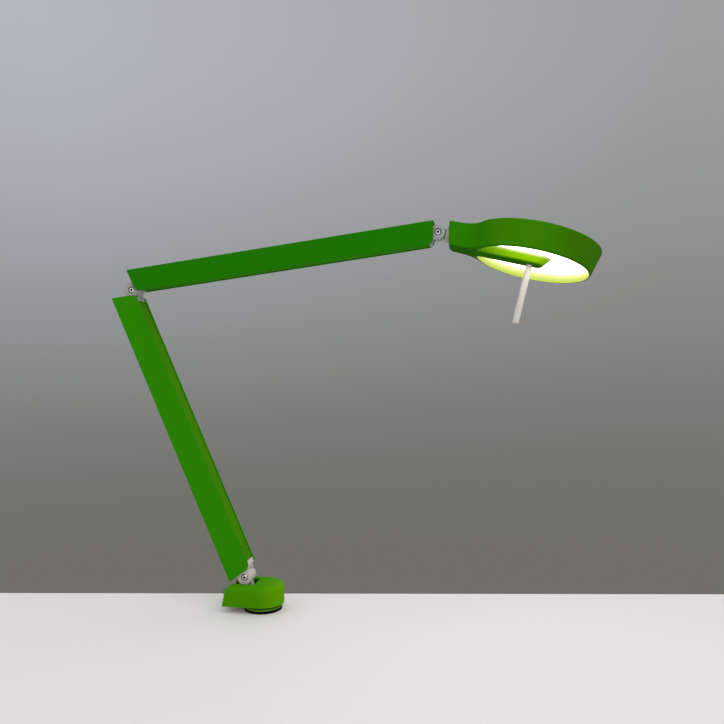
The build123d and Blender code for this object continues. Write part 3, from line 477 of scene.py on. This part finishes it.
def head_paint(name, lining):
    """Powder coat of the head: painted light on the ring, painted shade at the far end and underneath, and
    painted light from the diffuser inside the ring below it.
    """
    tones = finishes()
    finish = Finish(name)
    place = HeadPlace(finish)
    # lining gives where the diffuser's painted light lies inside the ring, and its tone
    painted_glow_mask, inner = lining(finish, place)
    # Masks for the ring's painted light and the far end's painted shade
    on_ring = (place.along - NECK_END) * (1 / (RING_START - NECK_END))
    far_end = place.along * (1 / FAR_START)
    greens = (tones.head_green, tones.ring_lit_green, tones.far_shaded_green)

    def tone(cloud):
        neck, wall, far = (clouded(finish, cloud, green) for green in greens)
        side = finish.mix(far_end, finish.mix(on_ring, neck, wall), far)
        # Painted shade on the underside
        painted_underside_shade = shaded(linear(tones.head_green), tones.under_shade)
        return finish.mix(painted_glow_mask, finish.mix(place.above_rim(UNDER_HEIGHT), painted_underside_shade, side), inner)

    return powder_coat(finish, tone)


def ring_inside_glow(finish, place):
    """Where the diffuser's painted light lies on the ring's inside, and its tone, palest next to the
    diffuser.
    """
    tones = finishes()
    upper = place.above_rim(place.depth)
    inner = finish.mix(upper * upper, linear(tones.shade_inside_glow), linear(tones.shade_upper_glow))
    return place.inside, inner


def bridge_glow(finish, place):
    """Where the diffuser's painted light lies on the bridge, and its tone: painted shade at the ring, palest
    next to the diffuser.
    """
    tones = finishes()
    inwards = place.from_wall * (1 / GLOW_LENGTH)
    lit = finish.mix(inwards, linear(tones.bridge_root_shade), linear(tones.bridge_lit_green))
    pale = inwards * (place.above_rim(place.depth) - PALE_FROM) * (1 / (1 - PALE_FROM))
    return place.inside * place.above_rim(GLOW_HEIGHT), finish.mix(pale, lit, linear(tones.shade_upper_glow))


# Other finishes

def casting_paint(name, tone):
    """Painted casting with a sandy grain."""
    tones = finishes()
    finish = Finish(name)
    sand = finish.noise(grain=0.5, detail=3.0)
    cloud = 0.5 * finish.noise(grain=7) + 0.5 * sand
    light = linear(tone)
    return finish.shader(
        base_color=finish.mix(cloud, shaded(light, 1 - tones.casting_grain), light),
        roughness=sand.around(0.495, 0.15),
        normal=finish.bump(sand, depth=0.05, strength=0.5, edge=tones.edge),
    )


def plated_steel():
    """Zinc plated steel with fine scratches and a cloudy polish."""
    finish = Finish("plated steel")
    cloud = finish.noise(grain=2.0, detail=3.0)
    scratch = finish.noise(grain=0.25)
    bright = linear(finishes().steel)
    dull = shaded(bright, 0.6)
    return finish.shader(
        base_color=finish.mix(0.4 * cloud, bright, dull),
        metallic=1.0,
        roughness=cloud.around(0.2, 0.12),
        normal=finish.bump(scratch, depth=0.02, strength=0.4),
    )


def plain_plastic(name, tone, gloss, grain, depth, index=1.5):
    """Moulded plastic, lacquer or rubber with an even grain and clouds twelve times as wide."""
    finish = Finish(name)
    cloud = finish.noise(grain * 12)
    skin = finish.noise(grain)
    light = linear(tone)
    dark = shaded(light, 0.78)
    return finish.shader(
        base_color=finish.mix(cloud, dark, light),
        roughness=skin.around(gloss, 0.12),
        ior=index,
        normal=finish.bump(skin, depth, strength=0.5),
    )


def brushed_metal():
    """Brushed sheet of the heat spreader."""
    finish = Finish("brushed sheet")
    brush = finish.noise(grain=0.6, stretch=(1.0, 0.04, 1.0))
    return finish.shader(
        base_color=finish.mix(brush, SHEET_DARK, SHEET_LIGHT),
        metallic=1.0,
        roughness=brush.around(0.375, 0.15),
        normal=finish.bump(brush, depth=0.02, strength=0.4),
    )


def lit_diffuser():
    """Opal sheet, lit from behind, a little brighter in the middle."""
    tones = finishes()
    finish = Finish("lit opal sheet")
    low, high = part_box("diffuser")
    from_middle = finish.amount(finish.vectors("DISTANCE", finish.place, (low + high) / 2), "Value")
    outwards = from_middle * (2 / (high.x - low.x))
    frost = finish.noise(grain=0.4, detail=1.0)
    lit = linear(tones.lit)
    rim = shaded(lit, 0.8)
    return finish.shader(
        base_color=OPAL,
        roughness=frost.around(0.5, 0.1),
        emission_color=finish.mix(outwards, lit, rim),
        emission_strength=tones.lit_strength,
        normal=finish.bump(frost, depth=0.01, strength=0.3),
    )


def tabletop_lacquer(tone):
    """Pale lacquer of the tabletop, with wide faint clouds."""
    finish = Finish("pale tabletop")
    skin = finish.noise(grain=1.5)
    cloud = finish.noise(grain=200)
    light = linear(tone)
    dark = shaded(light, 0.97)
    return finish.shader(
        base_color=finish.mix(cloud, dark, light),
        roughness=skin.around(0.55, 0.1),
        normal=finish.bump(skin, depth=0.02, strength=0.3),
    )


def wear(material, *names):
    """Put a material on nodes of the frame."""
    for name in names:
        slots = NODES[name].data.materials
        slots.clear()
        slots.append(material)


# Turned and six-sided pieces

def ring(radius, height, sides=0, knurl=0.0, corner_drop=0.0):
    """Closed ring of points. With sides it is a polygon of that inner radius, whose corners may drop."""
    points = []
    for step in range(RING_STEPS):
        turn = 2 * pi * step / RING_STEPS
        reach = radius + knurl * (step % 2)
        if sides:
            reach = radius / cos(turn % (2 * pi / sides) - pi / sides)
        drop = corner_drop * (reach / radius - 1)
        points.append(Vector((reach * cos(turn), reach * sin(turn), height - drop)))
    return points


def skin_over(bm, rings, place, closed=False):
    """Skin over rings of points, moved to a place: its rows of points, and its bands of faces."""
    rows = [[bm.verts.new(place @ point) for point in row] for row in rings]
    others = rows[1:] + rows[:1] if closed else rows[1:]
    bands = []
    for row, other in zip(rows, others):
        corners = zip(row, row[1:] + row[:1], other[1:] + other[:1], other)
        bands.append([bm.faces.new(four) for four in corners])
    return rows, bands


def turned_mesh(bm, rings, place, socket_shade_rows):
    """Skin over rings of points, closed at both ends. The first end and bands wear the second material, the
    painted shade of a socket.
    """
    rows, bands = skin_over(bm, rings, place)
    dark = [bm.faces.new(reversed(rows[0]))]
    bm.faces.new(rows[-1])
    for band in bands[:socket_shade_rows]:
        dark += band
    for face in dark:
        face.material_index = 1


def piece(name, bm, materials, body, slot, *replaced):
    """Mesh object made of a bmesh, which rides on a body and stands for nodes of the frame."""
    bmesh.ops.recalc_face_normals(bm, faces=bm.faces)
    mesh = bpy.data.meshes.new(name)
    bm.to_mesh(mesh)
    bm.free()
    for material in materials:
        mesh.materials.append(material)
    mesh.shade_smooth()
    mesh.set_sharp_from_angle(angle=SMOOTH_ANGLE)
    made = bpy.data.objects.new(name, mesh)
    bpy.context.scene.collection.objects.link(made)
    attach(made, body)
    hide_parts(*replaced)
    return made


def socket_rings(flats, depth, face):
    """Rings of a hexagon socket sunk into a face, from its floor up to its bevelled mouth."""
    mouth = SOCKET_MOUTH * flats
    return [
        ring(SOCKET_TIP * flats, face - SOCKET_DRILL * depth),
        ring(flats / 2, face - depth, HEXAGON),
        ring(flats / 2, face - mouth, HEXAGON),
        ring(flats / 2 + mouth, face, HEXAGON),
    ]


def upright_on(direction, place):
    """Matrix that puts local Z along a direction at a place."""
    return Matrix.Translation(place) @ direction.to_track_quat("Z", "Y").to_matrix().to_4x4()


def draw_bolt(name, body, materials):
    """Socket head bolt in place of a hinge bolt of the frame."""
    sizes = fasteners()
    low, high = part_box(name)
    middle = (low + high) / 2
    place = upright_on(BOLT_SIDE, Vector((middle.x, low.y, middle.z)))
    head = (high.x - low.x) / 2
    tall = sizes.bolt_height
    end = high.y - low.y
    edge = sizes.bolt_chamfer
    shank = sizes.bolt_radius
    rings = socket_rings(sizes.bolt_socket, sizes.bolt_socket_depth, 0.0)
    # The socket's rows wear its painted shade
    socket_shade_rows = len(rings) - 1
    rings += [
        ring(sizes.bolt_face, 0.0),
        ring(head - sizes.knurl, -edge, knurl=sizes.knurl),
        ring(head - sizes.knurl, -tall + edge / 2, knurl=sizes.knurl),
        ring(head - edge / 2, -tall),
        ring(shank, -tall),
        ring(shank, -end + edge),
        ring(shank - edge, -end),
    ]
    bm = bmesh.new()
    turned_mesh(bm, rings, place, socket_shade_rows)
    return piece(name + "_drawn", bm, materials, body, "steel", name)


def draw_nut(name, body, materials):
    """Hexagon nut with turned corners in place of a hinge nut of the frame."""
    sizes = fasteners()
    low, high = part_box(name)
    place = upright_on(-BOLT_SIDE, (low + high) / 2)
    half = (high.y - low.y) / 2
    flat = sizes.nut_flats / 2
    face = NUT_FACE * flat
    bore = NUT_BORE * sizes.bolt_radius
    mouth = NUT_MOUTH * sizes.nut_chamfer
    slope = NUT_SLOPE * sizes.nut_chamfer
    loops = [
        ring(bore, -half),
        ring(face, -half),
        ring(flat, -half, HEXAGON, corner_drop=-slope),
        ring(flat, half, HEXAGON, corner_drop=slope),
        ring(face, half),
        ring(bore + mouth, half),
        ring(bore, half - mouth),
    ]
    bm = bmesh.new()
    skin_over(bm, loops, place, closed=True)
    return piece(name + "_drawn", bm, materials, body, "steel", name)


# Stage

def make_tabletop(settings):
    """Pale slab with softened edges, whose far edge lies nearly square to the camera's view."""
    bm = bmesh.new()
    bmesh.ops.create_cube(bm, size=1.0)
    size = Vector((settings.table_width, settings.table_depth, settings.table_thickness))
    turn = Matrix.Rotation(settings.camera_turn - settings.table_turn, 4, "Z")
    ground = Vector(settings.camera_place)
    ground.z = 0.0
    shift = Vector((0.0, settings.table_reach - settings.table_depth / 2, -settings.table_thickness / 2))
    for vertex in bm.verts:
        vertex.co = ground + turn @ (vertex.co * size + shift)
    edge = settings.table_edge
    bmesh.ops.bevel(bm, geom=bm.edges[:], offset=edge, segments=3, affect="EDGES", profile=0.5)
    mesh = bpy.data.meshes.new("tabletop")
    bm.to_mesh(mesh)
    bm.free()
    mesh.materials.append(tabletop_lacquer(settings.table))
    made = bpy.data.objects.new("tabletop", mesh)
    bpy.context.scene.collection.objects.link(made)


def make_world(settings):
    """Even light from all round, and a grey background that is seen directly and in reflections."""
    world = bpy.data.worlds.new("studio")
    bpy.context.scene.world = world
    world.use_nodes = True
    nodes = Nodes(world.node_tree)
    path = nodes.node("ShaderNodeLightPath")
    seen = nodes.amount(path, "Is Camera Ray") + nodes.amount(path, "Is Glossy Ray")
    seen = seen + nodes.amount(path, "Is Transmission Ray")
    direction = nodes.node("ShaderNodeTexCoord").outputs["Generated"]
    parts = nodes.node("ShaderNodeSeparateXYZ", None, {0: direction})
    across, depth, rise = (nodes.amount(parts, axis) for axis in "XYZ")
    smooth = {"interpolation_type": "SMOOTHSTEP"}
    level = nodes.amount(nodes.node("ShaderNodeMapRange", smooth, {0: rise, 1: WALL_LOW, 2: WALL_HIGH}))
    turn = settings.camera_turn
    rightwards = 0.5 + (1 / WALL_SPREAD) * (cos(turn) * across + sin(turn) * depth)
    high = nodes.mix(rightwards, linear(settings.backdrop_left), linear(settings.backdrop_right))
    ahead = nodes.mix(level, linear(settings.backdrop_low), high)
    tone = nodes.mix(BEHIND_RISE * (BEHIND_START - depth), ahead, linear(settings.behind))
    wall = nodes.node("ShaderNodeBackground", None, {"Color": tone, "Strength": 1.0})
    even = nodes.node("ShaderNodeBackground", None, {"Color": WHITE, "Strength": settings.ambient})
    both = nodes.node("ShaderNodeMixShader", None, {0: seen, 1: even.outputs[0], 2: wall.outputs[0]})
    nodes.node("ShaderNodeOutputWorld", None, {"Surface": both.outputs[0]})


def make_key_light(settings):
    """Large soft lamp above and before the lamp."""
    light = bpy.data.lights.new("soft key", "AREA")
    light.size = settings.key_size
    light.energy = settings.key
    made = bpy.data.objects.new("soft key", light)
    made.location = settings.key_place
    view = Vector(settings.key_target) - Vector(settings.key_place)
    made.rotation_euler = view.to_track_quat("-Z", "Y").to_euler()
    bpy.context.scene.collection.objects.link(made)


def make_camera(settings):
    """Level camera at the photograph's place."""
    camera = bpy.data.cameras.new("camera")
    camera.sensor_width = SENSOR_WIDTH
    camera.lens = settings.camera_lens
    camera.clip_start = CLIP_START
    made = bpy.data.objects.new("camera", camera)
    made.location = settings.camera_place
    made.rotation_euler = (pi / 2, 0.0, settings.camera_turn)
    bpy.context.scene.collection.objects.link(made)
    bpy.context.scene.camera = made


# Operators, one for each group of pieces and one for the stage

class LAMP_OT_set_stage(Operator):
    """Make the tabletop, the light and the camera"""
    bl_idname = "lamp.set_stage"
    bl_label = "Stage"

    def execute(self, context):
        settings = stage()
        context.scene.view_settings.view_transform = "Standard"
        make_tabletop(settings)
        make_world(settings)
        make_key_light(settings)
        make_camera(settings)
        return {"FINISHED"}


class LAMP_OT_paint_green(Operator):
    """Paint the arms, base, head and bridge green"""
    bl_idname = "lamp.paint_green"
    bl_label = "Green paint"

    def execute(self, context):
        tones = finishes()
        # The arms' and strips' greens differ by painted light and painted shade
        wear(green_paint("lower arm powder coat", tones.lower_green), "lower_channel")
        wear(green_paint("lower strip powder coat", tones.lower_strip_lit), "lower_cover_strip")
        wear(green_paint("upper arm powder coat", tones.upper_shaded_green), "upper_channel")
        wear(green_paint("upper strip powder coat", tones.upper_strip_lit), "upper_cover_strip")
        wear(base_paint(), "base_cover")
        # Plate: lacquer green with a painted reflection of the tabletop
        wear(green_paint("plate lacquer", tones.plate_green_and_reflection), "desk_plate")
        # The bridge carries painted light from the diffuser and painted shade at its root
        wear(head_paint("bridge powder coat", bridge_glow), "bridge", "bridge_screws")
        # The head's inside below the diffuser carries painted light
        wear(head_paint("head powder coat", ring_inside_glow), "head_frame", "head_lid")
        return {"FINISHED"}


class LAMP_OT_finish_castings(Operator):
    """Give the knuckles, plugs and turret their grey casting paint"""
    bl_idname = "lamp.finish_castings"
    bl_label = "Grey castings"

    def execute(self, context):
        tones = finishes()
        # Lighter grey with painted light on the turret and foot, darker grey with painted shade on the
        # others
        wear(casting_paint("base casting paint", tones.base_casting), "base_casting", "lower_foot_plug")
        wear(
            casting_paint("upper casting paint", tones.upper_casting_shaded),
            "lower_elbow_plug", "upper_elbow_plug", "upper_head_plug", "head_knuckle",
        )
        return {"FINISHED"}


class LAMP_OT_draw_fasteners(Operator):
    """Draw the hinge bolts and nuts, and plate the screws and the other steel parts"""
    bl_idname = "lamp.draw_fasteners"
    bl_label = "Fasteners"

    def execute(self, context):
        steel = plated_steel()
        # The sockets' black is painted shade
        socket = plain_plastic("blackened socket", finishes().socket, gloss=0.6, grain=0.4, depth=0.02)
        for hinge, body in (("base", "lower_arm"), ("elbow", "upper_arm"), ("head", "upper_arm")):
            draw_bolt(hinge + "_hinge_bolt", body, (steel, socket))
            draw_nut(hinge + "_hinge_nut", body, (steel,))
        wear(
            steel,
            "lower_plug_screws", "upper_plug_screws", "handle_screw", "led_screws", "cover_screws",
            "swivel_spindle", "spindle_washer", "spindle_clip", "stem_clip",
        )
        return {"FINISHED"}


class LAMP_OT_finish_small_parts(Operator):
    """Finish the pad, washers, bushes, gland and cables"""
    bl_idname = "lamp.finish_small_parts"
    bl_label = "Rubber and nylon"

    def execute(self, context):
        tones = finishes()
        pad = plain_plastic(
            "pad rubber", tones.rubber, gloss=0.8, grain=0.6, depth=0.08, index=tones.rubber_index,
        )
        wear(pad, "desk_pad")
        wear(
            plain_plastic("black nylon", tones.nylon, gloss=0.5, grain=0.8, depth=0.03),
            "thrust_washer", "swivel_bush", "stem_bush", "gland_nut",
            "base_hinge_washers", "elbow_hinge_washers", "head_hinge_washers",
        )
        wear(plain_plastic("gland nylon", tones.gland, gloss=0.45, grain=0.8, depth=0.03), "cable_gland")
        wear(
            plain_plastic("cable sheath", tones.sheath, gloss=0.5, grain=0.7, depth=0.04),
            "lower_arm_cable", "upper_arm_cable",
        )
        return {"FINISHED"}


class LAMP_OT_finish_handle(Operator):
    """Finish the handle rod"""
    bl_idname = "lamp.finish_handle"
    bl_label = "Handle rod"

    def execute(self, context):
        tone = finishes().rod
        wear(plain_plastic("handle lacquer", tone, gloss=0.4, grain=0.9, depth=0.02), "handle_rod")
        return {"FINISHED"}


class LAMP_OT_light_the_head(Operator):
    """Light the diffuser and finish what lies behind it"""
    bl_idname = "lamp.light_the_head"
    bl_label = "Lit head"

    def execute(self, context):
        tones = finishes()
        wear(lit_diffuser(), "diffuser")
        wear(brushed_metal(), "heat_spreader")
        wear(plain_plastic("board lacquer", tones.board, gloss=0.4, grain=0.9, depth=0.02), "led_board")
        wear(plain_plastic("chip phosphor", tones.phosphor, gloss=0.5, grain=0.3, depth=0.02), "led_chips")
        return {"FINISHED"}


# Panel and start

OPERATORS = (
    LAMP_OT_set_stage, LAMP_OT_paint_green, LAMP_OT_finish_castings, LAMP_OT_draw_fasteners,
    LAMP_OT_finish_small_parts, LAMP_OT_finish_handle, LAMP_OT_light_the_head,
)
SETTINGS = (("lamp_finishes", LampFinishes), ("lamp_fasteners", LampFasteners), ("lamp_stage", LampStage))


class LAMP_PT_panel(Panel):
    """Steps and settings of the desk lamp"""
    bl_idname = "LAMP_PT_panel"
    bl_label = "Desk Lamp"
    bl_space_type = "VIEW_3D"
    bl_region_type = "UI"
    bl_category = "Desk Lamp"

    def draw(self, context):
        for step in OPERATORS:
            self.layout.operator(step.bl_idname)
        for name, group in SETTINGS:
            box = self.layout.box()
            for key in group.__annotations__:
                box.prop(getattr(context.scene, name), key)


def register():
    """Make the settings, steps and panel known to Blender."""
    for name, group in SETTINGS:
        bpy.utils.register_class(group)
        setattr(bpy.types.Scene, name, PointerProperty(type=group))
    for shown in OPERATORS + (LAMP_PT_panel,):
        bpy.utils.register_class(shown)


def unregister():
    """Take the panel, steps and settings out of Blender again."""
    for shown in (LAMP_PT_panel,) + OPERATORS:
        bpy.utils.unregister_class(shown)
    for name, group in SETTINGS:
        delattr(bpy.types.Scene, name)
        bpy.utils.unregister_class(group)


def main():
    """Dress the lamp and its stage."""
    register()
    bpy.ops.lamp.set_stage()
    bpy.ops.lamp.paint_green()
    bpy.ops.lamp.finish_castings()
    bpy.ops.lamp.draw_fasteners()
    bpy.ops.lamp.finish_small_parts()
    bpy.ops.lamp.finish_handle()
    bpy.ops.lamp.light_the_head()


if __name__ == "__main__":
    main()
